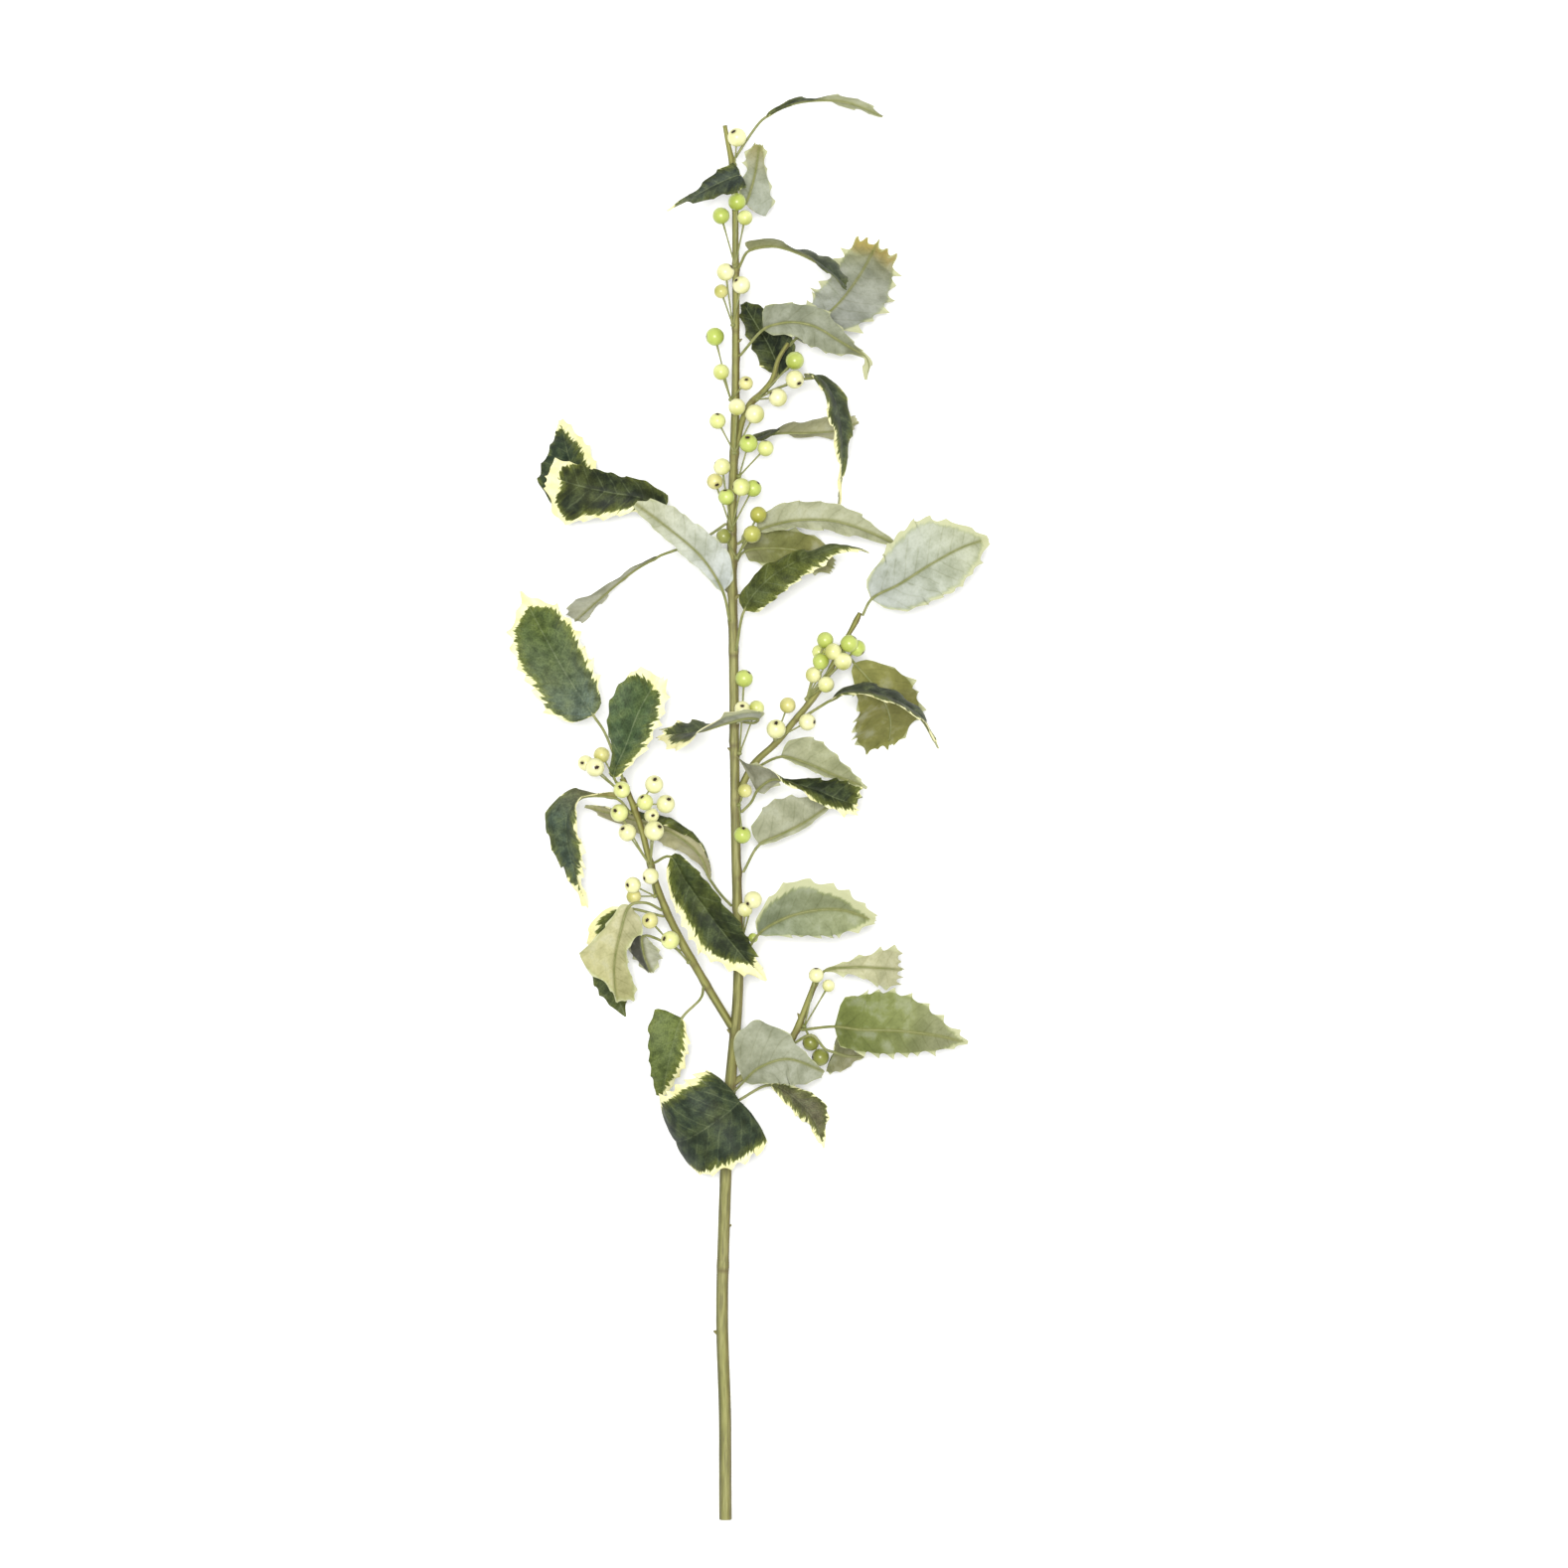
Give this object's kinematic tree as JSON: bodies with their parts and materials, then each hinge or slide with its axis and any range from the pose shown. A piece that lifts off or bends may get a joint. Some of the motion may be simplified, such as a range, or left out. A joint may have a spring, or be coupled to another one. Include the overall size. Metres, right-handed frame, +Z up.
{
  "type": "holly sprig",
  "caption": "Cut sprig of variegated holly lying on its leaves: woody stem with side twigs, spiny cream-edged leaves on short stalks, and stalked berries.",
  "frame": {"origin": "on the surface that the sprig lies on, under the middle of its outline", "axes": "+Y along the sprig from the cut end to the tip, +X to the right as seen from above, +Z up from the surface"},
  "size_m": [0.2675, 0.8003, 0.0902],
  "materials": {
    "stem": "young olive-green bark, fine ridges, matte",
    "leaf_dark": "leathery leaf seen from its dark mottled upper face, cream edge, satin",
    "leaf_pale": "leathery leaf seen from its pale grey-green underside, cream edge, matte",
    "berry_cream": "smooth waxy skin, soft gloss",
    "berry_green": "smooth waxy unripe skin, soft gloss"
  },
  "bodies": {
    "root": {"stem": "stem", "leaf_01": "leaf_pale", "leaf_02": "leaf_dark", "leaf_03": "leaf_pale", "leaf_04": "leaf_dark", "leaf_05": "leaf_pale", "leaf_06": "leaf_pale", "leaf_07": "leaf_dark", "leaf_08": "leaf_dark", "leaf_09": "leaf_pale", "leaf_10": "leaf_dark", "leaf_11": "leaf_dark", "leaf_12": "leaf_pale", "leaf_13": "leaf_pale", "leaf_14": "leaf_dark", "leaf_15": "leaf_dark", "leaf_16": "leaf_dark", "leaf_17": "leaf_pale", "leaf_18": "leaf_dark", "leaf_19": "leaf_pale", "leaf_20": "leaf_dark", "leaf_21": "leaf_pale", "leaf_22": "leaf_pale", "leaf_23": "leaf_pale", "leaf_24": "leaf_pale", "leaf_25": "leaf_pale", "leaf_26": "leaf_pale", "leaf_27": "leaf_dark", "leaf_28": "leaf_dark", "leaf_29": "leaf_dark", "leaf_30": "leaf_dark", "leaf_31": "leaf_pale", "leaf_32": "leaf_dark", "leaf_33": "leaf_pale", "leaf_34": "leaf_dark", "leaf_35": "leaf_pale", "leaf_36": "leaf_pale", "leaf_37": "leaf_pale", "leaf_38": "leaf_dark", "leaf_39": "leaf_pale", "berries_01": "berry_cream", "berries_02": "berry_green", "berries_03": "berry_cream", "berries_04": "berry_green", "berries_05": "berry_cream", "berries_06": "berry_cream", "berries_07": "berry_green", "berries_08": "berry_green", "berries_09": "berry_green", "berries_10": "berry_green", "berries_11": "berry_green", "berries_12": "berry_cream", "berries_13": "berry_cream", "berries_14": "berry_cream", "berries_15": "berry_cream", "berries_16": "berry_cream", "berries_17": "berry_cream", "berries_18": "berry_green", "berries_19": "berry_cream", "berries_20": "berry_green"}
  },
  "joints": []
}
